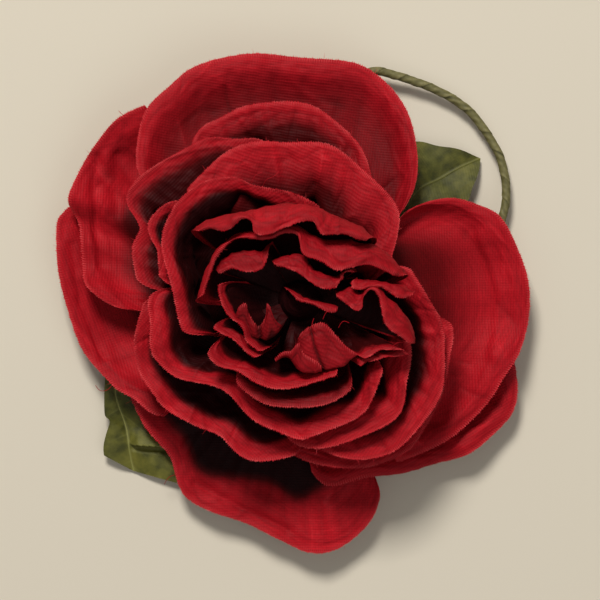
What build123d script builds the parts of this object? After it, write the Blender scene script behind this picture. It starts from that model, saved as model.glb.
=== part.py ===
from build123d import *
import os
from math import atan2, cos, radians, sin

os.makedirs("parts", exist_ok=True)

# Fabric garden-rose hair clip, lying on its back: the clip is underneath and the bloom
# faces +Z. Millimetres. CENTRE puts the middle of the whole thing on the origin.
CENTRE = Location((1.738, 0.907, 0))

CLOTH = 0.5            # thickness of one stiffened petal
FOOT_INSET = 0.6       # how deep each petal foot is set into the core
LOW_REACH = 0.4        # the two pulls that shape a petal, as shares of its run and rise
LOW_RISE = 0.15
HIGH_REACH = 0.72
HIGH_DROP = 0.02
LEAF_CLOTH = 0.55
LEAF_CUP = 0.07        # rise of the blade for each millimetre away from the midrib
LEAF_HALF_CUP = 0.3    # share of that rise half way out
FELT_RADIUS = 19.0
FELT_BOTTOM = 12.5
FELT_THICK = 1.5
FELT_ROUND = 0.4
DISC_RADIUS = 11.5
DISC_THICK = 2.2
DISC_ROUND = 0.6
CORE_BOTTOM = FELT_BOTTOM + FELT_THICK + DISC_THICK
CORE_RADIUS = 10.2     # at its bottom
CORE_TAPER = 0.35      # radius lost per millimetre of height
CORE_TOP = 33.5
CORE_BEVEL = 1.2

LEAF_WIRE_RADIUS = 0.45
WIRE_RADIUS = 0.8
TAPE_INNER = 0.85
TAPE_OUTER = 1.15

JAW_LENGTH = 60.0
JAW_THICK = 0.8
JAW_WIDTH = 9.0
JAW_CORNER = 3.5
JAW_MIDDLE_X = -1.0
EAR_LENGTH = 7.0       # where it leaves the fixed jaw
EAR_DEPTH = 4.0
EAR_RADIUS = 2.4
EAR_OUTER = 5.3
EAR_INNER = 4.5
LEVER_THICK = 0.9
LEVER_WIDTH = 8.0
LEVER_EAR = 0.8
LEVER_EAR_RADIUS = 2.3
LEVER_EAR_LENGTH = 4.6
LEVER_EAR_DEPTH = 3.2
LEVER_EAR_Z = 6.4
TAIL_X = -32.0
HINGE_X = -12.0
HINGE_Z = 8.0
PIN_RADIUS = 1.0
PIN_CLEARANCE = 0.06
PIN_HEAD_RADIUS = 1.5
PIN_HEAD_THICK = 0.5
COIL_RADIUS = 1.75
COIL_PITCH = 0.95
COIL_TURNS = 4.5
POINTS_PER_TURN = 10
SPRING_WIRE = 0.3      # radius

WRAP_PLACES = (4.0, 14.0)   # along the fixed jaw
WRAP_HALF_WIDTH = 1.6
WRAP_GAP = 0.1              # between the thread and the jaw
WRAP_THREAD = 0.6           # thickness of the wound thread beside the jaw
WRAP_DEPTH = JAW_THICK + 1.5
WRAP_HOLE_DEPTH = JAW_THICK + 0.5
WRAP_RISE = 0.15            # how far its middle lies above the middle of the jaw
WRAP_TOP = FELT_BOTTOM + 0.5


def export(builder, name):
    """Centre a finished piece, name it and write its STEP file."""
    solid = CENTRE * builder.part
    solid.label = name
    export_step(solid, f"parts/{name}.step")


def core_radius(height):
    return CORE_RADIUS - (height - CORE_BOTTOM) * CORE_TAPER


def blend(a, b, c, d, t):
    """Point at t on the cubic curve pulled by the four points."""
    s = 1 - t
    return a * s**3 + b * (3 * s * s * t) + c * (3 * s * t * t) + d * t**3


def petal_face(rim, foot_z, belly, swell, foot_arc=None, spans=14, steps=8):
    """Petal surface from its foot on the core out to its rim.

    belly is how far the lower half sags (-) or stands up (+) from a straight line,
    swell is how far the petal bulges outside its rim before curling back in.
    """
    edge = Spline(*rim)
    foot_r = core_radius(foot_z) - FOOT_INSET
    grid = []
    for i in range(spans + 1):
        tip = edge @ (i / spans)
        outward = atan2(tip.Y, tip.X)
        angle = outward
        if foot_arc:
            start, end = foot_arc
            angle = radians(start + (end - start) * i / spans)
        foot = Vector(foot_r * cos(angle), foot_r * sin(angle), foot_z)
        run = tip - foot
        rise = max(run.Z, 0)
        out = Vector(cos(outward), sin(outward), 0)
        level = Vector(run.X, run.Y, 0)
        low = foot + level * LOW_REACH + Vector(0, 0, LOW_RISE * run.Z + belly)
        high = foot + run * HIGH_REACH + out * swell - Vector(0, 0, HIGH_DROP * rise)
        grid.append([blend(foot, low, high, tip, j / steps) for j in range(steps + 1)])
    return Face.make_surface_from_array_of_points(grid, tol=0.05)


# Each petal: rim points (x, y, z), height of its foot on the core, belly, swell and,
# where the petal is folded across the bloom, the arc of core (degrees) its foot covers.
PETALS = {
    "outer_petal_bottom": (
        [(-42.7, -24.7, 7), (-40, -31, 6), (-33.3, -39.2, 5), (-29.6, -49.2, 4.4), (-18.3, -55, 4),
         (-5.8, -60.4, 4), (4, -64, 4), (10.8, -62.5, 4), (17, -57, 4.4), (20.4, -48.3, 5.5)],
        17.2, 0, 0, None),
    "outer_petal_left": (
        [(-55, 27, 9), (-61.3, 20.8, 8.5), (-61.8, 12, 8), (-60.6, 4, 8), (-57.1, -8.3, 8),
         (-54.2, -14.2, 8.5), (-49.4, -19.6, 9.5), (-41.4, -25.3, 11.5), (-34.1, -29.4, 14)],
        19.0, 0.6, 0, None),
    "outer_petal_lower_right": (
        [(54, -14, 7), (55.4, -23.3, 7), (53.8, -29.2, 7), (49.2, -34.2, 7.5), (41.7, -39.6, 8),
         (25, -44.2, 9.5), (15.8, -45.2, 10.5), (8, -45.6, 11.5), (2.5, -43.5, 12.5)],
        19.0, 0.6, 0, None),
    "outer_petal_upper_left": (
        [(-39, 49, 14.5), (-45.8, 45.8, 14), (-50.8, 40.4, 13), (-55, 34.2, 12), (-58.1, 24.2, 11),
         (-56, 17, 11), (-55, 9, 11.5), (-51.3, 0.9, 13), (-46, -1.8, 14.5), (-39.5, -3, 17)],
        20.2, 0.6, 0, None),
    "outer_petal_right": (
        [(24.6, 19.6, 18), (32.5, 24.8, 15), (39.2, 25.7, 13.5), (50, 21.7, 12), (53.8, 15.8, 11),
         (58.2, 2.5, 10.5), (57.1, -9.2, 10.5), (51.7, -19.2, 11), (43.3, -30.8, 12),
         (36.7, -35.8, 13), (24.2, -40.8, 15)],
        20.2, 0.6, 0, None),
    "outer_petal_top": (
        [(-39.5, 31, 19), (-41, 38.5, 18), (-39.5, 46, 17.5), (-32.5, 54.2, 16), (-20.8, 60.8, 15),
         (-5, 62, 14), (8.3, 60.6, 14), (17.5, 58.3, 14), (26.7, 48.3, 15), (29.6, 36, 16.5),
         (26, 23, 18.5)],
        21.4, 0.6, 0, None),
    "middle_petal_back": (
        [(-26.3, 40, 24), (-20.8, 45, 23.5), (-8.3, 49.3, 23), (2, 49, 23), (10.8, 42.9, 23.5),
         (15, 38.3, 24), (17.5, 30, 25)],
        22.6, 0, 0, None),
    "middle_petal_left_low": (
        [(-39.5, -3, 25), (-41.3, -10.3, 24.5), (-39.5, -18.9, 24), (-34.4, -26.3, 24),
         (-25.1, -31.7, 24), (-17.8, -36.1, 24), (-12, -40, 24), (-2.9, -39.1, 25)],
        22.6, 0, 0, None),
    "middle_petal_right_outer": (
        [(34.8, -1.5, 24), (38.1, -9.4, 23), (36.5, -20, 22.5), (30.5, -33, 22.5),
         (19.6, -41, 22.5), (4.8, -41, 23), (0, -39.5, 24)],
        21.4, 0, 0, None),
    "middle_petal_right": (
        [(28.8, 4, 29), (35.3, -6.1, 27), (35.9, -18.9, 26), (31.5, -29.3, 26), (22, -38.2, 26),
         (12, -39.4, 26), (8.1, -38.4, 27)],
        22.6, 0, 0, None),
    "middle_petal_upper_left": (
        [(-10.6, 40, 27), (-22.5, 40.3, 27), (-33.3, 35, 26.5), (-43.1, 25.9, 26),
         (-40.6, 17.7, 26.5), (-41.1, 7.9, 27)],
        23.8, 0, 0, None),
    "middle_petal_right_inner": (
        [(27.4, -15.6, 31), (26.5, -19.8, 30.5), (25.3, -26.8, 30), (22, -30.5, 30),
         (14.8, -33.9, 29.5), (6.7, -36.5, 29), (0.9, -36.3, 29.5)],
        23.8, 0, 0, None),
    "middle_petal_top": (
        [(-28.3, 26.9, 31), (-19.2, 35.9, 31), (-8.7, 39.3, 30.5), (5.7, 38.8, 30.5),
         (17.2, 30.7, 31), (23.9, 23, 32), (22.9, 12.5, 34)],
        25.0, 0, 0, None),
    "middle_petal_left": (
        [(-29, 25.1, 31), (-36.6, 20.6, 30.5), (-36.3, 14.2, 30.5), (-34.6, 5, 31), (-33.2, 0.5, 31)],
        25.0, 0, 0, None),
    "middle_petal_left_strip": (
        [(-37.9, -1.5, 30), (-37.3, -9.3, 30), (-34.1, -16.4, 30.5), (-23.5, -20.8, 32),
         (-18.2, -22.9, 32.5), (-11.5, -29.6, 31.5), (-0.5, -34.4, 31), (7.6, -32, 32),
         (16.2, -27.2, 33), (19.1, -21.4, 34)],
        25.0, 0, 0, None),
    "middle_petal_curled": (
        [(-3.9, 26.9, 36), (-14.5, 29.7, 35), (-24.2, 28.9, 34), (-31.5, 22.2, 34),
         (-34.1, 14.3, 34), (-31.5, 2.8, 35)],
        26.2, 0, 0, None),
    "ruffle_bottom_outer": (
        [(-13.5, -22.4, 36), (-8.6, -25.5, 36), (-3.6, -26.3, 36), (2.6, -26.3, 36), (7.9, -25.1, 36)],
        26.2, 0, 0, None),
    "ruffle_right_low_outer": (
        [(28.3, -13.8, 35.5), (23.3, -13.5, 36.5), (18.3, -14.6, 37.5), (14.6, -17.9, 37.5)],
        26.2, 0, 0, None),
    "ruffle_top_outer": (
        [(-26.9, 15, 41), (-21.7, 17.7, 44), (-14.6, 19.4, 46), (-6, 18, 46.5), (3.3, 19, 47),
         (8, 17, 46.5), (15, 15, 45), (19, 13.8, 42)],
        27.4, 0, 7, None),
    "ruffle_bottom": (
        [(-23.8, -9.6, 39), (-21.3, -15.2, 39), (-15.4, -17.2, 39), (-10.4, -20.6, 39),
         (-2.5, -21.7, 39), (5, -19.8, 39.5), (12.3, -17.5, 40)],
        27.4, 0, 0, None),
    "ruffle_right_low": (
        [(27.9, -13.1, 37), (22.5, -12.2, 38), (17.5, -13.3, 39), (14.2, -15, 39.5)],
        27.4, 0, 0, None),
    "ruffle_top": (
        [(-24.9, -2, 37), (-23, 3, 39), (-20, 11, 41.5), (-13, 14.6, 43), (-5, 14.8, 43.5),
         (0.5, 12.5, 43.5), (5.8, 9.8, 43.5), (12.9, 8.6, 43), (19.2, 8.1, 41.5), (27.7, 4.2, 38.5)],
        28.6, 0, 4.5, None),
    "ruffle_left_outer": (
        [(-24.2, -5.5, 38), (-19.2, -8.3, 39.5), (-14.6, -11.2, 40), (-12.1, -13.6, 40), (-7.9, -15.4, 39.5)],
        28.6, 0, 0, None),
    "ruffle_right": (
        [(19.6, -0.4, 41.5), (20.4, -3.3, 41.5), (22, -6.6, 41), (25.6, -9.2, 40), (28, -10, 39)],
        28.6, 0, 2, (6, -20)),
    "ruffle_left": (
        [(-19.2, 5.8, 40), (-14, 6.9, 41), (-9.2, 8.3, 41.5), (-7.5, 12.3, 41)],
        29.8, 0, 2.5, None),
    "ruffle_left_loop": (
        [(-19.8, 4, 40.5), (-18.5, -2.5, 41), (-14.2, -6.7, 41.5), (-11.3, -11, 41), (-7.5, -13.8, 40)],
        29.8, 0, 0, None),
    "ruffle_right_fold": (
        [(12.5, 5, 42), (16.3, 4.3, 42), (22.1, 3, 41.5), (28.3, 2.2, 39.5)],
        29.8, 0, 1.5, (44, 16)),
    "heart_petal_low": (
        [(-5, -12.2, 39), (-0.8, -16.2, 39), (6.7, -16.6, 39)],
        29.8, 0, 0, None),
    "heart_petal_right": (
        [(8, -15.6, 39.5), (13.4, -12.5, 40), (12.5, -7.5, 40), (9, -3.6, 40)],
        29.8, 0, 0, (-64, -22)),
    "ruffle_centre_top": (
        [(-6.9, 8.4, 41.5), (0, 6.3, 42), (5, 3.6, 42), (10, 4, 41.5)],
        31.0, 0, 1.8, None),
    "heart_petal_left": (
        [(-9, 1.5, 39.5), (-14.2, -0.4, 40), (-12.5, -4, 40), (-8, -6.8, 39)],
        31.0, 0, 0, (170, 222)),
    "ruffle_centre_strip": (
        [(-3.2, 1.8, 40.5), (0.6, 0.4, 41), (4.6, -1.4, 41), (9, -2.2, 40)],
        32.2, 0, 0, (150, -20)),
}

for name, (rim, foot_z, belly, swell, foot_arc) in PETALS.items():
    with BuildPart() as petal:
        thicken(petal_face(rim, foot_z, belly, swell, foot_arc), amount=CLOTH)
    export(petal, name)

# Sewn core that every petal foot is gathered on.
with BuildPart() as core:
    with BuildSketch(Plane.XZ):
        with BuildLine():
            top_r = core_radius(CORE_TOP)
            Polyline((0, CORE_BOTTOM), (CORE_RADIUS, CORE_BOTTOM), (top_r, CORE_TOP),
                     (top_r - CORE_BEVEL, CORE_TOP + CORE_BEVEL), (0, CORE_TOP + CORE_BEVEL),
                     close=True)
        make_face()
    revolve(axis=Axis.Z)
export(core, "petal_core")

# Stiff disc under the core, and the felt that covers the back.
with BuildPart() as base_disc:
    with BuildSketch(Plane.XY.offset(FELT_BOTTOM + FELT_THICK)):
        Circle(DISC_RADIUS)
    extrude(amount=DISC_THICK)
    fillet(base_disc.edges().group_by(Axis.Z)[-1], DISC_ROUND)
export(base_disc, "stiffener_disc")

with BuildPart() as felt:
    with BuildSketch(Plane.XY.offset(FELT_BOTTOM)):
        Circle(FELT_RADIUS)
    extrude(amount=FELT_THICK)
    fillet(felt.edges().group_by(Axis.Z)[-1], FELT_ROUND)
export(felt, "felt_backing")


def leaf_face(stations):
    """Leaf blade: each station is a midrib point and the reach of the blade either side."""
    rib = [Vector(*s[0]) for s in stations]
    grid = []
    for i, (point, left, right) in enumerate(stations):
        ahead = rib[min(i + 1, len(rib) - 1)] - rib[max(i - 1, 0)]
        side = Vector(-ahead.Y, ahead.X, 0).normalized()
        lift = Vector(0, 0, LEAF_CUP)
        middle = Vector(*point)
        grid.append([
            middle + side * left + lift * left,
            middle + side * left * 0.5 + lift * left * LEAF_HALF_CUP,
            middle,
            middle - side * right * 0.5 + lift * right * LEAF_HALF_CUP,
            middle - side * right + lift * right,
        ])
    return Face.make_surface_from_array_of_points(grid, tol=0.05)


LEAVES = {
    "leaf_right": [
        ((18.5, 14.3, 14), 1.5, 1.5), ((22, 17.5, 12), 8, 5), ((29, 23.5, 8), 12, 7.5),
        ((36, 29.5, 4.2), 11.5, 8), ((42, 33.7, 2.0), 6, 4.5), ((46.2, 36.2, 0.8), 0.7, 0.7)],
    "leaf_left": [
        ((-43.5, -11, 5.6), 2, 2), ((-46, -17, 4.6), 6, 4), ((-46, -25, 3.0), 9.5, 4.5),
        ((-44.6, -33, 1.9), 11.5, 5), ((-43.3, -39.5, 1.1), 11.5, 6.5), ((-42.3, -43, 0.8), 9, 5.5)],
}

for name, stations in LEAVES.items():
    with BuildPart() as leaf:
        thicken(leaf_face(stations), amount=LEAF_CLOTH)
    export(leaf, name)


def rod(route, radius, inner=0.0):
    """Round rod, or a sleeve when inner is given, swept along a smooth route."""
    with BuildPart() as swept:
        with BuildLine() as line:
            Spline(*route)
        with BuildSketch(Plane(origin=line.line @ 0, z_dir=line.line % 0)):
            Circle(radius)
            if inner:
                Circle(inner, mode=Mode.SUBTRACT)
        sweep(transition=Transition.ROUND)
    return swept


# Wire that carries each leaf out from under the bloom.
LEAF_WIRES = {
    "leaf_wire_right": [
        (8.8, 6.6, 15.2), (12, 9.2, 15.1), (15.5, 12, 14.7), (19, 14.8, 12.4), (23, 18.2, 10.0)],
    "leaf_wire_left": [
        (-10.9, -2.4, 15.2), (-20, -5, 15), (-32, -8, 10.5), (-43.5, -11.5, 4.3)],
}

for name, route in LEAF_WIRES.items():
    export(rod(route, LEAF_WIRE_RADIUS), name)

# Loose end of the tape-wrapped stem: leaves the core, loops round and comes back.
STEM = [(3.2, 10.7, 15.5), (5.4, 19.5, 15.4), (9, 36, 10.5), (13, 51, 6.6), (17.5, 58.0, 5.0),
        (23.3, 57.6, 4.2), (29.2, 55.8, 3.6), (35, 53.5, 3.2), (40.8, 50.2, 3.0), (45, 46.3, 3.0),
        (48.8, 40.8, 3.0), (51.3, 35.8, 3.2), (52.5, 30, 3.4), (52.5, 25, 3.6), (50, 17, 4.2),
        (44, 9.5, 5.8), (38.5, 4.6, 7.9), (34.5, 2.2, 10.8), (31, 0.4, 13.2), (28, -0.8, 14.5),
        (21, -2.2, 15.5), (11.1, -1.5, 15.5)]
export(rod(STEM, WIRE_RADIUS), "stem_wire")
export(rod(STEM, TAPE_OUTER, TAPE_INNER), "stem_tape")

# Fixed jaw of the clip: flat strip sewn to the felt, with two ears for the hinge pin.
with BuildPart() as fixed_jaw:
    with BuildSketch(Plane.XY.offset(FELT_BOTTOM - JAW_THICK)):
        with Locations((JAW_MIDDLE_X, 0)):
            RectangleRounded(JAW_LENGTH, JAW_WIDTH, JAW_CORNER)
        with Locations((HINGE_X, 0)):
            Rectangle(EAR_LENGTH, 2 * EAR_OUTER)
    extrude(amount=JAW_THICK)
    with BuildSketch(Plane.XZ.offset(-EAR_OUTER)):
        with Locations((HINGE_X, FELT_BOTTOM - JAW_THICK - EAR_DEPTH / 2)):
            Rectangle(EAR_LENGTH, EAR_DEPTH)
        with Locations((HINGE_X, HINGE_Z)):
            Circle(EAR_RADIUS)
            Circle(PIN_RADIUS, mode=Mode.SUBTRACT)
    extrude(amount=EAR_OUTER - EAR_INNER)
    mirror(about=Plane.XZ)
export(fixed_jaw, "fixed_jaw")

# Sprung jaw: bowed under the hair, closed at the nose, with a thumb tail behind the hinge.
TOP_LINE = [(28.5, 11.3), (25, 10.4), (16, 7.0), (4, 5.3), (-8, 5.1), (-14, 4.9),
            (-20, 3.7), (-25, 2.0)]
BOTTOM_LINE = [(x, z - LEVER_THICK) for x, z in reversed(TOP_LINE)]
with BuildPart() as lever_jaw:
    with BuildSketch(Plane.XZ):
        with BuildLine():
            Spline(*TOP_LINE)
            Polyline(TOP_LINE[-1], (-27.5, LEVER_THICK), (TAIL_X, LEVER_THICK), (TAIL_X, 0),
                     (-27.8, 0), BOTTOM_LINE[0])
            Spline(*BOTTOM_LINE)
            Line(BOTTOM_LINE[-1], TOP_LINE[0])
        make_face()
    extrude(amount=LEVER_WIDTH / 2, both=True)
    for ear_side in (-LEVER_WIDTH / 2, LEVER_WIDTH / 2 - LEVER_EAR):
        with BuildSketch(Plane.XZ.offset(ear_side)):
            with Locations((HINGE_X, LEVER_EAR_Z)):
                Rectangle(LEVER_EAR_LENGTH, LEVER_EAR_DEPTH)
            with Locations((HINGE_X, HINGE_Z)):
                Circle(LEVER_EAR_RADIUS)
                Circle(PIN_RADIUS + PIN_CLEARANCE, mode=Mode.SUBTRACT)
        extrude(amount=LEVER_EAR)
export(lever_jaw, "lever_jaw")

# Hinge pin with a peened head outside each ear.
with BuildPart() as pin:
    with BuildSketch(Plane.XZ.offset(-EAR_OUTER)):
        with Locations((HINGE_X, HINGE_Z)):
            Circle(PIN_RADIUS)
    extrude(amount=2 * EAR_OUTER)
    for head_side in (-EAR_OUTER - PIN_HEAD_THICK, EAR_OUTER):
        with BuildSketch(Plane.XZ.offset(head_side)):
            with Locations((HINGE_X, HINGE_Z)):
                Circle(PIN_HEAD_RADIUS)
        extrude(amount=PIN_HEAD_THICK)
export(pin, "hinge_pin")

# Torsion spring: coil round the pin, one leg pushing on each tail.
COIL_WIDTH = COIL_PITCH * COIL_TURNS
COIL_STEPS = int(COIL_TURNS * POINTS_PER_TURN)
turns = []
for i in range(COIL_STEPS + 1):
    around = radians(360 / POINTS_PER_TURN * i)
    turns.append(Vector(HINGE_X + COIL_RADIUS * sin(around),
                        COIL_WIDTH * (i / COIL_STEPS - 0.5),
                        HINGE_Z + COIL_RADIUS * cos(around)))
leg_up = [Vector(HINGE_X - reach, turns[0].Y, z) for reach, z in ((7.5, 11.2), (3.6, 10.3))]
leg_down = [Vector(HINGE_X - reach, turns[-1].Y, z) for reach, z in ((3.6, 5.7), (7.5, 4.3))]
export(rod(leg_up + turns + leg_down, SPRING_WIRE), "torsion_spring")

# Two thread wraps that bind the fixed jaw to the felt.
for number, place in enumerate(WRAP_PLACES, start=1):
    with BuildPart() as wrap:
        with BuildSketch(Plane.YZ.offset(place)):
            with Locations((0, FELT_BOTTOM - JAW_THICK / 2 + WRAP_RISE)):
                Rectangle(JAW_WIDTH + 2 * (WRAP_GAP + WRAP_THREAD), WRAP_DEPTH)
                Rectangle(JAW_WIDTH + 2 * WRAP_GAP, WRAP_HOLE_DEPTH, mode=Mode.SUBTRACT)
            with Locations((0, WRAP_TOP)):
                Rectangle(2 * JAW_WIDTH, 1.0, align=(Align.CENTER, Align.MIN), mode=Mode.SUBTRACT)
        extrude(amount=WRAP_HALF_WIDTH, both=True)
    export(wrap, f"thread_wrap_{number}")
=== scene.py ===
import bpy
import numpy as np
from math import pi
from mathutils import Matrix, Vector


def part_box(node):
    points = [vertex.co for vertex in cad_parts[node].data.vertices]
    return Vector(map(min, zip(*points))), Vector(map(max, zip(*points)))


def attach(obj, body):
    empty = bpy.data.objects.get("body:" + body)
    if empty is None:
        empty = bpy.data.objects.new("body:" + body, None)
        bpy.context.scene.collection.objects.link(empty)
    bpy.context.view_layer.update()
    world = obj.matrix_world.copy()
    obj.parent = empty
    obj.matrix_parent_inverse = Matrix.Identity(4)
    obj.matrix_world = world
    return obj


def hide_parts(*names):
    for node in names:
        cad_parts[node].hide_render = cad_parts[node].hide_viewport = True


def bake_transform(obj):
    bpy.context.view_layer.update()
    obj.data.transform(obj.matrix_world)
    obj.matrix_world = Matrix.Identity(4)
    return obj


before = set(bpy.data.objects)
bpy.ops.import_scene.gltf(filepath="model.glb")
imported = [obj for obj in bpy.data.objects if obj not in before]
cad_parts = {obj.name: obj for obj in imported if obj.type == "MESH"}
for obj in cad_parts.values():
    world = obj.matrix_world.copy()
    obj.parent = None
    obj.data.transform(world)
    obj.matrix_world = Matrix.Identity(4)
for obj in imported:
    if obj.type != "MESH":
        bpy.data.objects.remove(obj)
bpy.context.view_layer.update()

scene = bpy.context.scene
MM = 0.001
# Axis of the sewn core. Shapes are given in millimetres from it, camera and lights in metres.
core_low, core_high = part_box("petal_core")
AXIS = np.array([(core_low[0] + core_high[0]) / 2, (core_low[1] + core_high[1]) / 2, 0.0])
chance = np.random.default_rng(7)


# ------ camera and light
CAMERA_HEIGHT = 0.9
FRAME_WIDTH = 0.150  # width in view at the height of the middle petals
FRAME_HEIGHT = 0.022
DAYLIGHT = (1.0, 0.97, 0.93)
LIT_PLACE = Vector((0.0, 0.0, 0.02))
camera = bpy.data.objects.new("camera", bpy.data.cameras.new("camera"))
scene.collection.objects.link(camera)
camera.location = (AXIS[0], AXIS[1], CAMERA_HEIGHT)
camera.data.lens = camera.data.sensor_width * (CAMERA_HEIGHT - FRAME_HEIGHT) / FRAME_WIDTH
scene.camera = camera


def soft_light(name, place, size, watts, colour):
    lamp = bpy.data.objects.new(name, bpy.data.lights.new(name, "AREA"))
    lamp.data.size = size
    lamp.data.energy = watts
    lamp.data.color = colour
    lamp.location = place
    lamp.rotation_euler = (LIT_PLACE - lamp.location).to_track_quat("-Z", "Y").to_euler()
    scene.collection.objects.link(lamp)


soft_light("window", (-0.26, 1.0, 1.25), 0.40, 25.0, DAYLIGHT)
soft_light("fill", (0.35, -0.5, 0.9), 0.9, 2.0, (0.97, 0.98, 1.0))
world = bpy.data.worlds.new("room")
world.use_nodes = True
background = world.node_tree.nodes["Background"]
background.inputs["Color"].default_value = (*DAYLIGHT, 1)
background.inputs["Strength"].default_value = 0.2
scene.world = world
scene.view_settings.view_transform = "Standard"


# ------ materials
class Shader:
    """A new material with short helpers for adding and joining nodes."""

    def __init__(self, name, rough, metal=0.0):
        self.material = bpy.data.materials.new(name)
        self.material.use_nodes = True
        self.tree = self.material.node_tree
        self.skin = self.tree.nodes["Principled BSDF"]
        self.set("Roughness", rough)
        self.set("Metallic", metal)

    def set(self, socket, value):
        self.put(self.skin.inputs[socket], value)

    def put(self, socket, value):
        """Give a socket a number or a colour, or join it to another one."""
        if isinstance(value, tuple):
            socket.default_value = (*value, 1)
        elif isinstance(value, (int, float)):
            socket.default_value = value
        else:
            self.join(value, socket)

    def node(self, kind, **settings):
        made = self.tree.nodes.new("ShaderNode" + kind)
        for key, value in settings.items():
            setattr(made, key, value)
        return made

    def join(self, source, target):
        self.tree.links.new(source, target)

    def maths(self, operation, first, second=None):
        made = self.node("Math", operation=operation)
        for socket, value in zip(made.inputs, (first, second)):
            if value is not None:
                self.put(socket, value)
        return made.outputs[0]

    def times(self, first, second):
        return self.maths("MULTIPLY", first, second)

    def noise(self, scale, detail=4.0, where=None):
        made = self.node("TexNoise")
        made.inputs["Scale"].default_value = scale
        made.inputs["Detail"].default_value = detail
        self.join(where or self.node("TexCoord").outputs["Object"], made.inputs["Vector"])
        return made.outputs["Fac"]

    def ramp(self, value, *stops):
        made = self.node("ValToRGB")
        band = made.color_ramp
        while len(band.elements) < len(stops):
            band.elements.new(0.5)
        for element, (at, colour) in zip(band.elements, stops):
            element.position = at
            element.color = (*colour, 1)
        self.join(value, made.inputs["Fac"])
        return made.outputs["Color"]

    def mix(self, factor, first, second, blend="MIX"):
        made = self.node("Mix", data_type="RGBA", blend_type=blend)
        for number, value in ((0, factor), (6, first), (7, second)):
            self.put(made.inputs[number], value)
        return made.outputs[2]

    def bump(self, height, strength, reach):
        made = self.node("Bump")
        made.inputs["Strength"].default_value = strength
        made.inputs["Distance"].default_value = reach
        self.join(height, made.inputs["Height"])
        for earlier in self.skin.inputs["Normal"].links:
            self.join(earlier.from_socket, made.inputs["Normal"])
        self.join(made.outputs["Normal"], self.skin.inputs["Normal"])

    def attribute(self, name):
        return self.node("Attribute", attribute_name=name).outputs["Fac"]

    def cloth_place(self):
        """Along the hem and in from it, in centimetres."""
        parts = self.node("SeparateXYZ")
        self.join(self.node("TexCoord").outputs["UV"], parts.inputs[0])
        return parts.outputs[0], parts.outputs[1]

    def stripe(self, value, pitch):
        """Sine ridges across a length in centimetres, pitch in millimetres."""
        return self.maths("SINE", self.times(value, 20 * pi / pitch))

    def streaks(self, narrow, long):
        """Noise drawn out towards the hem, sizes in millimetres."""
        spread = self.node("Mapping")
        spread.inputs["Scale"].default_value = (10 / narrow, 10 / long, 1)
        self.join(self.node("TexCoord").outputs["UV"], spread.inputs["Vector"])
        return self.noise(1.0, 3.0, spread.outputs["Vector"])


WEAVE_PITCH = 0.66  # millimetres from rib to rib
HEM_PITCH = 0.62  # millimetres from one thread end to the next
FRAYED_RED = (0.60, 0.055, 0.06)
# Greyish red for wear together with a painted sheen.
WEAR_AND_SHEEN_RED = (0.40, 0.12, 0.13)


def rose_cloth():
    s = Shader("rose_cloth", 0.6)
    shade = s.attribute("shade")
    # The shade attribute is painted shade and highlight: 0 is the near black of the deepest shadow in the
    # bloom, 1 the lightest red of a lit hem.
    base = s.ramp(shade, (0.0, (0.010, 0.0004, 0.0006)), (0.3, (0.080, 0.0012, 0.002)),
                  (0.62, (0.29, 0.0045, 0.009)), (0.88, (0.45, 0.007, 0.014)),
                  (1.0, (0.56, 0.022, 0.030)))
    patches = s.ramp(s.noise(60.0, 1.5), (0.3, (0.84, 0.84, 0.86)), (0.7, (1.0, 1.0, 1.0)))
    base = s.mix(1.0, base, patches, "MULTIPLY")
    drawn = s.ramp(s.streaks(9.0, 0.7), (0.3, (0.80, 0.78, 0.80)), (0.7, (1.14, 1.14, 1.14)))
    base = s.mix(0.7, base, drawn, "MULTIPLY")
    grain = s.ramp(s.noise(2200.0, 1.0), (0.3, (0.86, 0.84, 0.85)), (0.7, (1.08, 1.08, 1.08)))
    base = s.mix(0.8, base, grain, "MULTIPLY")
    across, inward = s.cloth_place()
    weft = s.stripe(s.attribute("weft"), WEAVE_PITCH)
    warp = s.stripe(s.attribute("warp"), WEAVE_PITCH)
    ribs = s.maths("ADD", weft, s.times(warp, 0.5))
    weave = s.ramp(s.maths("ADD", s.times(ribs, 0.33), 0.5),
                   (0.0, (0.87, 0.84, 0.85)), (1.0, (1.08, 1.08, 1.08)))
    base = s.mix(1.0, base, weave, "MULTIPLY")
    hem = s.ramp(inward, (0.02, (1, 1, 1)), (0.11, (0, 0, 0)))
    ticks = s.ramp(s.stripe(across, HEM_PITCH), (0.3, (0, 0, 0)), (0.8, (1, 1, 1)))
    frayed = s.times(s.times(hem, ticks), s.times(shade, 0.95))
    base = s.mix(frayed, base, FRAYED_RED)
    # Greyish patches, partly wear and partly a painted sheen, stronger where the painted shade is lighter.
    wear_and_sheen = s.ramp(s.noise(120.0, 6.0), (0.6, (0, 0, 0)), (0.78, (1, 1, 1)))
    s.set("Base Color", s.mix(s.times(wear_and_sheen, s.times(shade, 0.045)), base, WEAR_AND_SHEEN_RED))
    s.set("Sheen Weight", 0.015)
    s.set("Sheen Roughness", 0.4)
    s.set("Sheen Tint", (1.0, 0.35, 0.35))
    s.set("Specular IOR Level", 0.09)
    s.bump(s.streaks(9.0, 1.5), 0.5, 0.0003)
    s.bump(s.noise(420.0, 3.0), 0.18, 0.0003)
    s.bump(ribs, 0.2, 0.0001)
    return s.material


ROSE = rose_cloth()


# ------ shapes
def even(count):
    """Shares from 0 to 1, evenly spread."""
    return np.linspace(0, 1, count)


def unit(rows):
    return rows / np.linalg.norm(rows, axis=1, keepdims=True)


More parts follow.
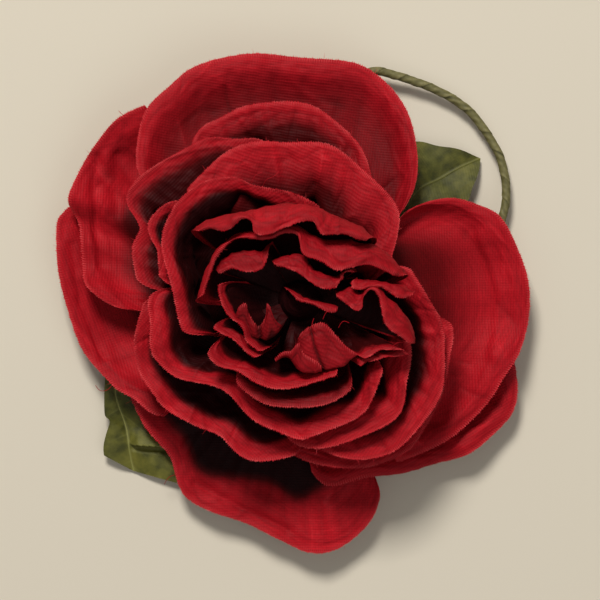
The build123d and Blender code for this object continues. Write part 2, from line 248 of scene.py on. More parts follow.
def through(points, at):
    """Natural cubic curve through the points, read at shares of its length."""
    p = np.array(points, float)
    step = np.sqrt(np.linalg.norm(np.diff(p, axis=0), axis=1))
    knot = np.concatenate([[0.0], np.cumsum(step)])
    n = len(p)
    rows = np.eye(n)
    right = np.zeros_like(p)
    for i in range(1, n - 1):
        before, after = step[i - 1], step[i]
        rows[i, i - 1:i + 2] = before, 2 * (before + after), after
        right[i] = 6 * ((p[i + 1] - p[i]) / after - (p[i] - p[i - 1]) / before)
    bend = np.linalg.solve(rows, right)

    def read(t):
        i = np.clip(np.searchsorted(knot, t, side="right") - 1, 0, n - 2)
        h = step[i][:, None]
        a = ((knot[i + 1] - t)[:, None]) / h
        b = 1 - a
        return (a * p[i] + b * p[i + 1]
                + ((a**3 - a) * bend[i] + (b**3 - b) * bend[i + 1]) * h * h / 6)

    fine = np.linspace(0, knot[-1], 40 * n)
    line = read(fine)
    run = np.concatenate([[0.0], np.cumsum(np.linalg.norm(np.diff(line, axis=0), axis=1))])
    return read(np.interp(np.asarray(at) * run[-1], run, fine))


def length_of(line):
    return float(np.linalg.norm(np.diff(line, axis=0), axis=1).sum())


def ripple(across, along, seed, wave, stretch=3.0, count=7):
    """Smooth random ripple, about -1 to 1; wave is its length in mm across the petal."""
    dice = np.random.default_rng(seed)
    total = np.zeros_like(across)
    for _ in range(count):
        size = wave * dice.uniform(0.6, 1.7)
        lean = dice.uniform(-1, 1) / stretch
        total += np.sin(2 * pi * (across / size + along * lean / size) + dice.uniform(0, 2 * pi))
    return total / np.sqrt(count)


def smooth(x):
    x = np.clip(x, 0, 1)
    return x * x * (3 - 2 * x)


def creases(hem, inward, seed, count, reach):
    """Sharp folds: most run roughly along the hem, a few run in from it."""
    dice = np.random.default_rng(seed)
    total = np.zeros_like(hem)
    for _ in range(count):
        place = dice.uniform(0.02, 0.98) * hem.max()
        depth = dice.uniform(0.6, reach)
        turn = dice.normal(0, 0.35) if dice.random() < 0.72 else dice.uniform(0.9, 2.1)
        size = dice.uniform(4, 13)
        width = dice.uniform(0.35, 0.9)
        bend = dice.uniform(-0.03, 0.03)
        x, y = hem - place, inward - depth
        along = x * np.cos(turn) + y * np.sin(turn)
        aside = -x * np.sin(turn) + y * np.cos(turn) + bend * along**2
        fold = np.exp(-np.abs(aside) / width) * smooth(1 - np.abs(along) / size)
        total += dice.choice([-1, 1]) * fold
    return np.clip(total, -1.4, 1.4)


# How a petal runs from foot to hem: share of the way out, share of the climb, extra mm up.
PROFILES = {
    "saucer": [(0, 0, 0), (0.2, 0.08, -0.3), (0.4, 0.3, -0.7), (0.5, 0.54, -1.1), (0.6, 0.82, -1.6),
               (0.75, 0.97, -2.4), (0.87, 1.0, -1.3), (0.95, 1.0, 0.2), (1, 1, 0)],
    "flat": [(0, 0, 0), (0.12, 0.1, 0), (0.3, 0.6, 0), (0.45, 0.88, -0.6), (0.6, 0.96, 0.2),
             (0.8, 0.98, 0.2), (0.93, 1.0, 0.6), (1, 1, 0)],
    "wall": [(0, 0, 0), (0.3, 0.1, -0.6), (0.55, 0.34, -0.8), (0.78, 0.68, -0.2), (0.9, 0.9, 0.3),
             (1, 1, 0)],
}


def profile_of(kind, run, band, tilt):
    """One of the profiles, or a cup that sags and then turns up within band of the hem."""
    if kind in PROFILES:
        return PROFILES[kind]
    sag = 0.13 * run
    return [(0, 0, 0), (0.25, 0, -0.5 * sag), (0.48, 0.03, -0.95 * sag), (0.62, 0.15, -sag),
            (1 - (band + 2.2) / run, 0.5, -0.8 * sag), (1 - band / run, 0.9, -0.14 * sag - tilt * band),
            (1 - 0.45 * band / run, 1.0, -0.35 * tilt * band), (1, 1, 0)]


# How a petal with a crest climbs to it and turns over it: share of the way out, share of the height.
UNDER_CREST = [(0, 0), (0.5, 0.02), (0.85, 0.3), (0.97, 0.72), (1, 1)]
OVER_CREST = [(0, 0), (0.03, 0.3), (0.2, 0.68), (0.5, 0.95), (0.8, 1.06), (1, 1)]

CORE_BOTTOM = core_low[2] / MM
CORE_RADIUS = (core_high[0] - core_low[0]) / 2 / MM
CORE_TAPER = 0.35  # radius lost per millimetre of height
FOOT_INSET = 0.6  # how deep a petal's foot is set into the core
PETAL_ROWS = 62
CROWDING = 1.5  # how much the rows crowd towards the hem
ENDS_CUT = 0.5  # share of the reach that a rounded end loses


def corner(distance, size):
    """1 at the very end of a hem, falling to 0 once the distance reaches size."""
    if not size:
        return 0 * distance
    return np.clip(1 - distance / size, 0, 1) ** 2


def petal_surface(rim, foot_z, profile, crest, foot_arc, band, tilt, ends, seed, across):
    """Grid of points (row, column, 3) from the foot on the core to the rim, and each one's depth."""
    u = even(across)
    tip = through(rim, u)
    hem = u * length_of(tip)
    top = through(crest, u) if crest else tip
    angle = np.arctan2(top[:, 1], top[:, 0])
    if foot_arc:
        angle = np.radians(np.linspace(foot_arc[0], foot_arc[1], across))
    foot_r = CORE_RADIUS - (foot_z - CORE_BOTTOM) * CORE_TAPER - FOOT_INSET
    foot = np.stack([foot_r * np.cos(angle), foot_r * np.sin(angle), np.full(across, foot_z)], 1)
    v = 1 - (1 - even(PETAL_ROWS)) ** CROWDING
    if crest:
        stops = even(40)
        low = through([(out, up, 0) for out, up in UNDER_CREST], stops)
        high = through([(out, up, 0) for out, up in OVER_CREST], stops)
        lower = foot[None] + (top - foot)[None] * low[:, [0, 0, 1]][:, None]
        upper = top[None] + (tip - top)[None] * high[:, [0, 0, 1]][:, None]
        path = np.concatenate([lower, upper[1:]])
    else:
        run = tip - foot
        mean_run = float(np.linalg.norm(run[:, :2], axis=1).mean())
        stops = even(80)
        narrow = through(profile_of(profile, mean_run, 0.75 * band, tilt), stops)[:, None]
        wide = through(profile_of(profile, mean_run, 1.3 * band, tilt), stops)[:, None]
        part = np.clip(0.5 + 0.5 * ripple(hem, 0 * hem, seed + 3, 20.0), 0, 1)[None, :, None]
        shape = narrow * (1 - part) + wide * part
        path = foot[None] + run[None] * shape[:, :, [0, 0, 1]]
        path[:, :, 2] += shape[:, :, 2]
    steps = np.linalg.norm(np.diff(path, axis=0), axis=2)
    reach = np.concatenate([np.zeros((1, across)), np.cumsum(steps, axis=0)])
    full = reach[-1] * (1 - ENDS_CUT * (corner(hem, ends[0]) + corner(hem[-1] - hem, ends[1])))
    grid = np.empty((PETAL_ROWS, across, 3))
    for i in range(across):
        for k in range(3):
            grid[:, i, k] = np.interp(v * full[i], reach[:, i], path[:, i, k])
    depth = (1 - v)[:, None] * full[None]
    return grid, depth


def tuck_lines(grid, lines):
    """1 along each line drawn on the bloom from above, falling to 0 within about a millimetre."""
    near = np.zeros(grid.shape[:2])
    for start, end, width in lines:
        way = np.subtract(end, start)
        share = np.clip(((grid[..., :2] - start) @ way) / (way @ way), 0, 1)
        gap = np.linalg.norm(grid[..., :2] - (start + share[..., None] * way), axis=2)
        near = np.maximum(near, np.exp(-((gap / width) ** 2)))
    return near


def facing(grid):
    """Unit normal at each point of a grid."""
    normal = np.cross(np.gradient(grid, axis=1), np.gradient(grid, axis=0))
    return normal / np.maximum(np.linalg.norm(normal, axis=2, keepdims=True), 1e-9)


def sheet_faces(rows, columns):
    index = np.arange(rows * columns).reshape(rows, columns)
    faces = np.stack([index[:-1, :-1], index[:-1, 1:], index[1:, 1:], index[1:, :-1]], -1)
    return faces.reshape(-1, 4).tolist()


def number_points(mesh, name, values):
    layer = mesh.attributes.new(name, "FLOAT", "POINT")
    layer.data.foreach_set("value", values.astype(np.float32))


def make_mesh(name, points, faces, uv=None, shade=None, material=None):
    mesh = bpy.data.meshes.new(name)
    mesh.from_pydata((points * MM + AXIS).tolist(), [], faces)
    if uv is not None:
        layer = mesh.uv_layers.new(name="cloth")
        loops = np.empty(len(mesh.loops), int)
        mesh.loops.foreach_get("vertex_index", loops)
        layer.data.foreach_set("uv", uv[loops].astype(np.float32).ravel())
    if shade is not None:
        number_points(mesh, "shade", shade)
    mesh.polygons.foreach_set("use_smooth", [True] * len(mesh.polygons))
    thing = bpy.data.objects.new(name, mesh)
    scene.collection.objects.link(thing)
    if material:
        mesh.materials.append(material)
    return thing


def grain_of(grid):
    """Two directions of the weave: straight along the petal's hem, and out from the core."""
    along = grid[-1, -1] - grid[-1, 0]
    along /= np.linalg.norm(along)
    out = (grid[-1] - grid[len(grid) // 3]).mean(axis=0)
    out -= along * (out @ along)
    return out / np.linalg.norm(out), along


def on_flower(thing, node):
    """The thing moves with the flower and stands for a CAD node, which is hidden."""
    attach(thing, "flower")
    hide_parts(node)


THREAD_SPACING = 0.55
LONG_THREADS = 0.012  # share of the thread ends that hang out


def fray(grid, normal, out, side, hem, shade, seed):
    """Thread ends along a hem, one triangle each: points, shades and places on the cloth."""
    dice = np.random.default_rng(seed)
    columns = grid.shape[1]
    count = int(length_of(grid[-1]) / THREAD_SPACING)
    points, tones, places = [], [], []
    for k in range(count):
        at = (k + dice.uniform(0.3, 0.7)) / count * (columns - 1)
        i = min(int(at), columns - 2)
        root = grid[-1, i] * (1 - at + i) + grid[-1, i + 1] * (at - i)
        size, half = dice.uniform(0.2, 0.42), 0.19
        if dice.random() < LONG_THREADS:
            size, half = dice.uniform(0.9, 2.0), 0.06
        lean = dice.uniform(-0.4, 0.4)
        tip = root + (out[i] + side[i] * lean + normal[-1, i] * dice.uniform(-0.35, 0.25)) * size
        back = root - out[i] * 0.15
        points += [back - side[i] * half, back + side[i] * half, tip]
        tones += [shade[-1, i] * 1.12] * 3
        places += [(hem[-1, i], 0)] * 3
    return np.array(points), np.array(tones), np.array(places)


CREASE_HEM = 60  # the number of creases is given for this much hem
CREASE_REACH = 13
CRUMPLE_WAVE = 6.0
CRUMPLE_ZONE = 22  # in from the hem
PLEAT_WAVE = 15.0
PLEAT_ZONE = 26  # in from the hem
SEAM_DEPTH = 2.6  # a faint line pressed along the hem
ROLL_HEIGHT = 0.9
TUCK_DEPTH = 0.6
# Deeper in than HIDDEN_FROM the painted shade is lifted back to HIDDEN_SHADE.
HIDDEN_FROM = 28  # further in than this a petal is under its neighbours
HIDDEN_SHADE = 0.5


def petal(name, foot_z, seed, rim, profile="cup", crest=None, foot_arc=None, band=6.0, tilt=0.2,
          fold=0.5, wave=20.0, pleat=0.35, crumple=0.06, folds=16, mark=0.42, lip=1.4, drop=0.18,
          lit=5.0, fade=5.0, deep=0.2, top=0.79, ends=(6, 6), tucks=(), rolls=()):
    """One cloth petal with a frayed hem.

    rim is the hem, crest the line where the petal turns over before it, foot_arc the degrees of core
    its foot covers. band and tilt shape the curled edge. fold and wave are the height and length of
    soft folds, pleat and crumple are smaller ones, folds and mark the number and depth of creases.
    lip and drop roll the hem. The painted shade, standing for the shadow deep in the bloom, is top as far in
    as lit, then fades to deep. ends are rounded, tucks are pressed in and painted darker, and rolls stand up.
    """
    rough_rim = through(rim, even(200))
    across = int(np.clip(length_of(rough_rim) / 0.45, 60, 400))
    grid, depth = petal_surface(rim, foot_z, profile, crest, foot_arc, band, tilt, ends, seed, across)
    normal = facing(grid)
    hem = np.linspace(0, length_of(grid[-1]), across)[None].repeat(len(grid), 0)
    share = 1 - depth / depth[0][None]
    near_hem = smooth(1 - depth / CRUMPLE_ZONE)
    inside = smooth((depth - 1.2) / 4)
    count = int(folds * hem.max() / CREASE_HEM)
    marks = creases(hem, depth, seed + 50, count, min(depth.max() / 2, CREASE_REACH))
    rough = ripple(hem, depth, seed + 90, CRUMPLE_WAVE, 1.2)
    pleats = np.abs(ripple(hem, depth, seed + 20, PLEAT_WAVE, 2.2)) - 0.6
    flutter = ripple(hem, 0 * hem, seed + 70, CRUMPLE_WAVE) * np.exp(-depth / 2.0)
    lift = fold * ripple(hem, depth, seed, wave) * share**1.5
    lift += pleat * pleats * smooth(1 - depth / PLEAT_ZONE) * inside * smooth(share * 4)
    lift += crumple * rough * near_hem + 0.5 * crumple * flutter + mark * marks
    lift += 0.05 * ripple(depth, hem, seed + 130, 2.6, 1.5) * near_hem
    lift -= drop * smooth(1 - depth / lip) ** 1.5
    seam = SEAM_DEPTH + 0.8 * ripple(hem, 0 * hem, seed + 160, 14.0)
    lift -= 0.10 * np.exp(-((depth - seam) / 0.35) ** 2)
    tucked = tuck_lines(grid, tucks)
    lift += ROLL_HEIGHT * tuck_lines(grid, rolls) - TUCK_DEPTH * tucked
    out = unit(grid[-1] - grid[-4])
    wander = 0.04 * ripple(hem, 0 * hem, seed + 180, 2.6) * np.exp(-depth / 1.2)
    grid = grid + normal * lift[..., None] + out[None] * wander[..., None]

    side = unit(np.gradient(grid[-1], axis=0))
    lit = np.interp(hem / hem.max(), even(np.size(lit)), np.atleast_1d(lit))
    limit = lit * (1 + 0.09 * ripple(hem, 0.3 * depth, seed + 200, 26.0))
    # Painted shade: full as far in from the hem as lit, then fading to deep where the shadow deep in the
    # bloom falls.
    shade = deep + (top - deep) * (1 - smooth((depth - limit) / fade))
    # Where the petal lies hidden under its neighbours the painted shade is lifted back towards HIDDEN_SHADE.
    shade += max(HIDDEN_SHADE - deep, 0) * smooth((depth - HIDDEN_FROM) / 8)
    # Painted shade and highlight on the folds: creases and pleats darker in their hollows, lighter on their
    # ridges.
    shade *= 1 + 0.20 * np.clip(marks, -1, 1) + 0.45 * pleat * np.clip(pleats, -1, 1) * inside
    # A thin lighter line at the very hem, and painted shade along the pressed seam.
    shade += 0.08 * np.exp(-depth / 0.25) - 0.12 * np.exp(-((depth - seam) / 0.3) ** 2)
    # Painted shade in the tucks.
    shade *= 1 - 0.55 * tucked
    ends_at, ends_shade, ends_place = fray(grid, normal, out, side, hem, shade, seed + 500)
    points = np.concatenate([grid.reshape(-1, 3), ends_at])
    tones = np.clip(np.concatenate([shade.ravel(), ends_shade]), 0, 1)
    places = np.concatenate([np.stack([hem.ravel(), depth.ravel()], 1), ends_place]) * 0.1
    faces = sheet_faces(*shade.shape)
    faces += np.arange(shade.size, len(points)).reshape(-1, 3).tolist()
    sheet = make_mesh(name + "_cloth", points, faces, places, tones, ROSE)
    weft, warp = grain_of(grid)
    number_points(sheet.data, "weft", points @ weft * 0.1)
    number_points(sheet.data, "warp", points @ warp * 0.1)
    on_flower(sheet, name)


# What petals of one kind share.
OUTER = dict(profile="saucer", pleat=0.3, folds=9, mark=0.3, lip=3.0, drop=0.4, fade=8, top=0.78,
             ends=(0, 0))
TOP_RUFFLE = dict(fold=0.2, lit=7, fade=4, deep=0.1, top=0.7, ends=(4, 4))
LOW_RUFFLE = dict(profile="wall", lit=1.5, fade=3, deep=0.12, top=0.66, ends=(2, 2))
HEART = dict(fold=0.3, wave=6, crumple=0.1, folds=10, mark=0.35, fade=4, deep=0.1, top=0.56, ends=(0, 0))
TURNED_RUFFLE = dict(fold=0.15, fade=3, deep=0.06, top=0.66, ends=(1, 1))

petals_made = []


def add_petal(name, foot_z, kind=None, **looks):
    """A petal with the looks of its kind and its own, and the next seed."""
    petals_made.append(name)
    petal(name, foot_z, 11 * len(petals_made), **dict(kind or {}, **looks))


# outer ring
add_petal("outer_petal_bottom", 17.6, OUTER, rim=[
    (-42.7, -24.7, 8), (-40, -30.8, 7.4), (-36.7, -35, 7), (-33.3, -39.2, 6.6), (-31.7, -43.3, 6.4),
    (-29.6, -49.2, 6), (-25, -52.5, 6), (-18.3, -55, 6.2), (-11.7, -57.5, 6.5), (-5.8, -60.4, 6.8),
    (0, -63.3, 7), (5, -64, 7), (10.8, -62.5, 7), (15.8, -58.3, 7), (19.2, -53.3, 7), (20.4, -48.3, 7.5),
    (20, -44, 8)],
    profile="flat", fold=0.6, wave=26, lip=3.5, drop=0.6, lit=(2.5, 3.5, 7, 11, 14, 17), fade=4.5, deep=0.02,
    top=0.79, ends=(0, 6), rolls=[((-26.5, -46.5), (-14, -53.5), 1.2), ((-14, -53.5), (-3, -58.5), 1.2)])
add_petal("outer_petal_left", 19.0, OUTER, rim=[
    (-55, 27, 9), (-58.1, 24.2, 8.8), (-61.3, 20.8, 8.5), (-61.8, 16.7, 8), (-61.3, 8.3, 8), (-59.6, 0, 8),
    (-57.1, -8.3, 8), (-54.2, -14.2, 8.5), (-49.4, -19.6, 9.5), (-45.9, -22.8, 10.5), (-41.4, -25.3, 11.5),
    (-37.9, -28.2, 13), (-34.1, -29.4, 14)],
    fold=0.7, wave=26, drop=0.5, lit=(16, 14, 13, 16), deep=0.12,
    rolls=[((-58, 14), (-56, 0), 1.1), ((-56, 0), (-50, -14.5), 1.1)])
add_petal("outer_petal_lower_right", 19.0, OUTER, rim=[
    (54, -14, 7), (55.4, -23.3, 7), (53.8, -29.2, 7), (49.2, -34.2, 7.5), (41.7, -39.6, 8),
    (33.3, -41.9, 8.8), (25, -44.2, 9.6), (15.8, -45.2, 10.7), (7.1, -47, 11.9), (3, -43.5, 13)],
    fold=0.6, wave=18, lit=18, fade=10, deep=0.4)
add_petal("outer_petal_upper_left", 20.2, OUTER, rim=[
    (-39, 49, 14.5), (-45.8, 45.8, 14), (-50.8, 40.4, 13), (-55, 34.2, 12), (-57.5, 28.3, 11.5),
    (-58.1, 24.2, 11), (-56.4, 20, 11), (-55.4, 14.2, 11), (-54.2, 4.4, 12), (-51.3, 0.9, 13),
    (-47.2, -1.4, 14), (-42.7, -2.3, 15.5), (-39.5, -3, 17)],
    fold=0.9, wave=18, pleat=0.25, drop=0.5, lit=(14, 11, 8, 14), fade=9, deep=0.14,
    rolls=[((-51.5, 36), (-52.3, 25), 1.3), ((-52.3, 25), (-50, 9), 1.3), ((-46, 36), (-46.5, 22), 1.6)])
add_petal("outer_petal_right", 20.2, OUTER, rim=[
    (24.6, 19.6, 18), (27.5, 22.5, 16.5), (32.5, 24.8, 15), (39.2, 25.7, 13.5), (45, 24.2, 12.5),
    (50, 21.7, 12), (53.8, 15.8, 11), (56.7, 9.2, 10.5), (58.2, 2.5, 10.5), (58.2, -4.2, 10.5),
    (57.1, -9.2, 10.5), (54.6, -15, 10.8), (51.7, -19.2, 11), (48.3, -25, 11.5), (43.3, -30.8, 12),
    (36.7, -35.8, 13), (28.3, -39.6, 14), (24.2, -40.8, 15)],
    fold=0.6, wave=24, pleat=0.1, lit=9, fade=16, deep=0.36, top=0.8,
    rolls=[((46, 17), (51, 2), 1.8), ((51, 2), (49.5, -14), 1.8)])
add_petal("outer_petal_top", 21.4, OUTER, rim=[
    (-39.5, 30.2, 19), (-40.8, 33, 18.5), (-41.1, 38.2, 18), (-39.5, 46.1, 17.5), (-36.7, 50.4, 17),
    (-32.5, 54.2, 16), (-28.3, 57.9, 15.5), (-20.8, 60.8, 15), (-10.8, 62.3, 14.5), (-2.5, 61.5, 14),
    (8.3, 60.6, 14), (13.3, 60, 14), (17.5, 58.3, 14), (22.5, 54.2, 14.5), (26.7, 48.3, 15),
    (28.8, 41.7, 15.8), (29.6, 35, 16.5), (28.8, 28.3, 17.5), (26, 22.5, 18.5)],
    fold=0.7, wave=34, lit=1.5, fade=10, deep=0.46)
# middle ring
add_petal("middle_petal_back", 22.6, rim=[
    (-28.5, 34, 23.5), (-27.6, 37.4, 24), (-25, 42.5, 24), (-20.8, 45, 23.5), (-15, 47.9, 23),
    (-8.3, 49.3, 23), (0, 49.3, 23), (5, 47.5, 23.2), (10.8, 42.9, 23.5), (15, 38.3, 24), (17.1, 33.3, 24.5),
    (18.2, 29, 25), (20, 24, 25.5)],
    band=9, tilt=0, wave=18, lit=1.0, fade=7, deep=0.25, top=0.76)
add_petal("middle_petal_left_low", 22.6, rim=[
    (-36, 6, 23.5), (-38, 1.5, 24.3), (-40.3, -5, 24.8), (-41.4, -10.3, 24.5), (-41.1, -14.1, 24.3),
    (-39.5, -18.9, 24), (-36.9, -23, 24), (-34.4, -26.3, 24), (-29.9, -29.4, 24), (-25.1, -31.7, 24),
    (-20.4, -33.6, 24), (-17.8, -36.1, 24), (-15.3, -38.5, 24), (-12, -40, 24), (-7.7, -40, 24.3),
    (-2.9, -39.1, 24.6), (1.5, -37.4, 24.7), (5, -34.6, 24.6)],
    band=7, tilt=0.25, lit=(3.5, 2.6, 2.4, 3.2, 4.5), fade=3, deep=0.03, ends=(8, 8))
add_petal("middle_petal_right_outer", 21.4, rim=[
    (34.8, -1.5, 24), (37.3, -5.3, 23.5), (38.1, -9.4, 23), (37.3, -14.8, 22.7), (36.5, -20, 22.5),
    (34, -27, 22.5), (30.5, -33, 22.5), (26.8, -37.7, 22.5), (19.6, -41, 22.5), (12.4, -42, 22.7),
    (4.8, -41, 23), (0, -39.5, 23), (-4, -37, 22.5), (-8, -33, 22)],
    band=7, lit=4.2, fade=4.5, deep=0.06)
add_petal("middle_petal_right", 22.6, rim=[
    (24, 12, 29), (27.4, 7.6, 29), (30.3, 3.2, 28.6), (33, -1.5, 27.8), (35.3, -6.1, 27), (35.9, -11.5, 26.4),
    (35.9, -18.9, 26), (34.8, -23.9, 26), (31.5, -29.3, 26), (25.8, -35.8, 26), (22, -38.2, 26),
    (16.2, -39.6, 26), (11.9, -39.4, 26.3), (8.1, -38.4, 26.6), (4, -36.4, 26), (0, -33.4, 25.5)],
    band=8, lit=3.6, fade=4, deep=0.05)
add_petal("middle_petal_upper_left", 23.8, rim=[
    (-2, 34, 26), (-6, 37.6, 26.5), (-10.6, 40, 27), (-16.3, 40, 27), (-22.5, 40.3, 27), (-27.3, 38.3, 26.8),
    (-33.3, 35, 26.5), (-40.2, 30.2, 26), (-43.1, 25.9, 26), (-42, 21.9, 26.2), (-39.8, 17.7, 26.5),
    (-41.4, 14.2, 26.8), (-41.1, 7.9, 26.8), (-40, 3.6, 26.5), (-38.3, 0, 26.3)],
    band=9, tilt=0, lit=1.0, deep=0.13, top=0.74)
add_petal("middle_petal_right_inner", 23.8, rim=[
    (26, -6, 30), (27.4, -10.5, 30.5), (27.3, -15.6, 31), (26.5, -19.8, 30.5), (25.3, -26.8, 30),
    (22, -30.5, 30), (14.8, -33.9, 29.5), (6.7, -36.5, 29), (0.9, -36.3, 29), (-3.2, -34.3, 28.5),
    (-7, -31, 27.5)],
    band=7.5, tilt=0.25, deep=0.04)
add_petal("middle_petal_top", 25.0, rim=[
    (-31, 22.6, 30.5), (-28.3, 26.9, 31), (-24, 31.5, 31), (-19.2, 35.9, 31), (-14.4, 38.3, 30.7),
    (-8.7, 39.3, 30.5), (-3.4, 39, 30.5), (5.7, 38.8, 30.5), (11.4, 35.9, 30.7), (17.2, 30.7, 31),
    (23.9, 23, 32), (24.2, 17, 33), (22.9, 11.8, 34), (21.6, 7, 34), (19.6, 3, 34)],
    band=12, tilt=0, lit=3.0, fade=12)
add_petal("middle_petal_left", 25.0, rim=[
    (-25.6, 26.6, 30.5), (-29, 25.1, 31), (-33.1, 23.8, 30.8), (-36.6, 20.6, 30.5), (-37.6, 18.1, 30.5),
    (-36.3, 14.2, 30.5), (-35.4, 12.6, 30.6), (-34.6, 5, 31), (-33.2, 0.5, 31)],
    band=5, tilt=0.1, lit=1.2, fade=2, deep=0.04)
add_petal("middle_petal_left_strip", 25.0, rim=[
    (-34, 6, 28.5), (-36.5, 2.4, 29.2), (-37.6, -1.5, 29.8), (-37.1, -5, 30), (-37.3, -9.3, 30),
    (-36.6, -13.5, 30.2), (-34.1, -16.4, 30.5), (-29.9, -19.2, 31.2), (-23.5, -20.8, 32),
    (-18.2, -22.9, 32.5), (-11.5, -29.6, 31.5), (-4.4, -32.9, 31), (-0.5, -34.4, 31), (2.8, -33.9, 31.3),
    (7.6, -32, 32), (12.4, -30, 32.5), (16.2, -27.2, 33), (19.1, -21.4, 34), (20.6, -17, 34),
    (20.8, -12, 34)],
    tilt=0.3, lit=(2.6, 3.2, 3.2, 3.6, 4), fade=3, deep=0.04)
add_petal("middle_petal_curled", 26.2, rim=[
    (9, 20.5, 34), (2.6, 24.4, 35), (-3.9, 26.9, 35.5), (-11.5, 28.3, 35.3), (-14.5, 29.7, 35),
    (-19, 30.2, 34.5), (-24.2, 28.9, 34), (-29, 25.4, 34), (-31.5, 22.2, 34), (-33.4, 18, 34),
    (-34.1, 14.3, 34), (-33.4, 9.5, 34.4), (-31.5, 2.8, 35), (-30.3, -3, 34.6), (-28.8, -8.2, 34),
    (-26.9, -12.6, 33.5)],
    band=5, tilt=0.1, lit=(3, 2.6, 2, 1.6, 1.6), fade=3, deep=0.03)
# ruffles and heart
add_petal("ruffle_bottom_outer", 26.2, rim=[
    (-19, -16.6, 35), (-16.6, -19.6, 35.6), (-13.5, -22.4, 36), (-8.6, -25.5, 36), (-3.6, -26.3, 36),
    (2.6, -26.3, 36), (7.9, -25.1, 36), (12.6, -21.6, 36), (15.6, -17.4, 36)],
    profile="wall", lit=1.6, fade=3, deep=0.12, top=0.5)
add_petal("ruffle_right_low_outer", 26.2, LOW_RUFFLE, rim=[
    (28.3, -13.8, 35.5), (23.3, -13.5, 36.5), (18.3, -14.6, 37.5), (15.2, -15.8, 37.5),
    (14.6, -17.9, 37.5)])
add_petal("ruffle_top_outer", 27.4, TOP_RUFFLE, rim=[
    (-26.9, 15, 41), (-24.6, 16.5, 42.5), (-21.7, 17.7, 44), (-18.8, 17.1, 45), (-16.3, 18.3, 45.6),
    (-14.6, 19.8, 46), (-12.5, 19.6, 46.3), (-11.7, 18.3, 46.4), (-11.3, 16.7, 46.4), (-9.2, 16, 46.5),
    (-5.4, 16.9, 46.5), (-1.7, 18.5, 46.6), (0.8, 19.3, 46.8), (3.3, 19.2, 46.8), (4.4, 17.7, 46.8),
    (5, 16.5, 46.7), (6.7, 15.9, 46.5), (10.8, 16.1, 46), (15, 15, 45), (19, 13.8, 42.5)], crest=[
    (-28, 16, 36), (-24, 19, 38), (-19, 20.6, 39.5), (-14.6, 21.5, 40.5), (-10, 22.6, 41), (-3.3, 23.6, 41.5),
    (1.7, 23.3, 41.5), (7.5, 21.3, 41), (11.7, 19.2, 40.5), (15.8, 16.8, 40), (20.2, 14.2, 39)])
add_petal("ruffle_bottom", 27.4, rim=[
    (-23.8, -9.6, 39), (-22.9, -12.5, 39), (-21.3, -15.2, 39), (-18.3, -16.5, 39), (-15.4, -17.2, 39),
    (-13.3, -18.8, 39), (-10.4, -20.6, 39), (-6.7, -21.7, 39), (-2.5, -21.7, 39), (0.8, -20.9, 39.2),
    (5, -19.6, 39.5), (9.2, -18.7, 39.8), (12.3, -17.8, 40)],
    profile="wall", lip=1.5, lit=(2.6, 3.2, 4, 3), fade=2.5, deep=0.05, top=0.72, ends=(4, 4))
add_petal("ruffle_right_low", 27.4, LOW_RUFFLE, rim=[
    (27.9, -13.1, 37), (25.4, -12.8, 37.5), (22.5, -11.9, 38), (20, -11.9, 38.6), (17.5, -13.3, 39),
    (14.2, -15, 39.5)])
add_petal("ruffle_top", 28.6, TOP_RUFFLE, rim=[
    (-24.9, -2, 37), (-23.3, 2.5, 39), (-21.7, 7.5, 40.5), (-20, 11.3, 41.5), (-15.4, 15, 42.5),
    (-10.8, 15, 43), (-6.7, 15.2, 43.5), (-5, 16.2, 43.5), (-2.5, 16.7, 43.6), (-0.4, 16, 43.8),
    (0.2, 14.2, 44), (0.8, 11.3, 44), (3.3, 10.2, 44), (5.8, 9.2, 44), (8.3, 7.6, 44), (10, 7.5, 43.9),
    (12.9, 8.3, 43.6), (16.3, 8.8, 43), (19.2, 8.1, 42.3), (22.1, 6.7, 41.3), (25.4, 5.4, 40),
    (27.7, 4.2, 39)], crest=[
    (-26, -2, 34), (-24.8, 3, 35.5), (-22.6, 9, 37), (-19.5, 13.4, 38), (-15, 16.4, 38.6), (-10.5, 17, 39),
    (-6, 17.6, 39.3), (-2.5, 18.6, 39.5), (1, 17.6, 39.9), (4.6, 15.4, 40.2), (10, 14.8, 40),
    (15, 14.1, 39.6), (18.8, 13.1, 38.3), (23.3, 9.6, 37.5), (28.3, 4.8, 36.5)])
add_petal("ruffle_left_outer", 28.6, rim=[
    (-24.2, -5.5, 38), (-21.7, -6.6, 39), (-19.2, -8.3, 39.5), (-16.7, -9.4, 39.8), (-14.6, -11.2, 40),
    (-12.1, -13.6, 40), (-7.9, -15.4, 39.5)],
    profile="wall", lit=2.0, fade=2.5, deep=0.05, top=0.66, ends=(4, 4))
add_petal("ruffle_right", 28.6, TURNED_RUFFLE, rim=[
    (8, 1.3, 41), (10, 0.2, 41.6), (11.6, -1, 42), (12.8, -1.9, 42.2), (13.9, -2.5, 42.2), (14.9, -1.9, 42.2),
    (15.2, -0.1, 42.2), (15.6, 1.5, 42.3), (16.5, 2.5, 42.3), (17.6, 2.8, 42.3), (18.6, 2.3, 42.3),
    (19.3, 0.8, 42.2), (19.8, -1.2, 42), (20.2, -3.4, 42), (20.8, -5.6, 41.7), (22, -7, 41.4),
    (23.6, -7.9, 41), (25.2, -9, 40.4), (26.7, -10.5, 39.6), (28, -12, 39)], crest=[
    (8.4, 2.4, 38), (10.6, 2.6, 38.6), (12.3, 3, 39), (13.5, 1.9, 39.2), (15.2, 1.7, 39.3), (16, 2.9, 39.4),
    (17.2, 3.8, 39.4), (18.7, 3.5, 39.4), (20.3, 2, 39), (22, 0.6, 38.7), (23.8, -0.9, 38.3), (25.4, -3, 38),
    (26.8, -5.5, 37.6), (27.8, -8.2, 37.2), (28.4, -11.6, 36.8)],
    foot_arc=(22, -24), lit=6, fade=4, ends=(1, 2))
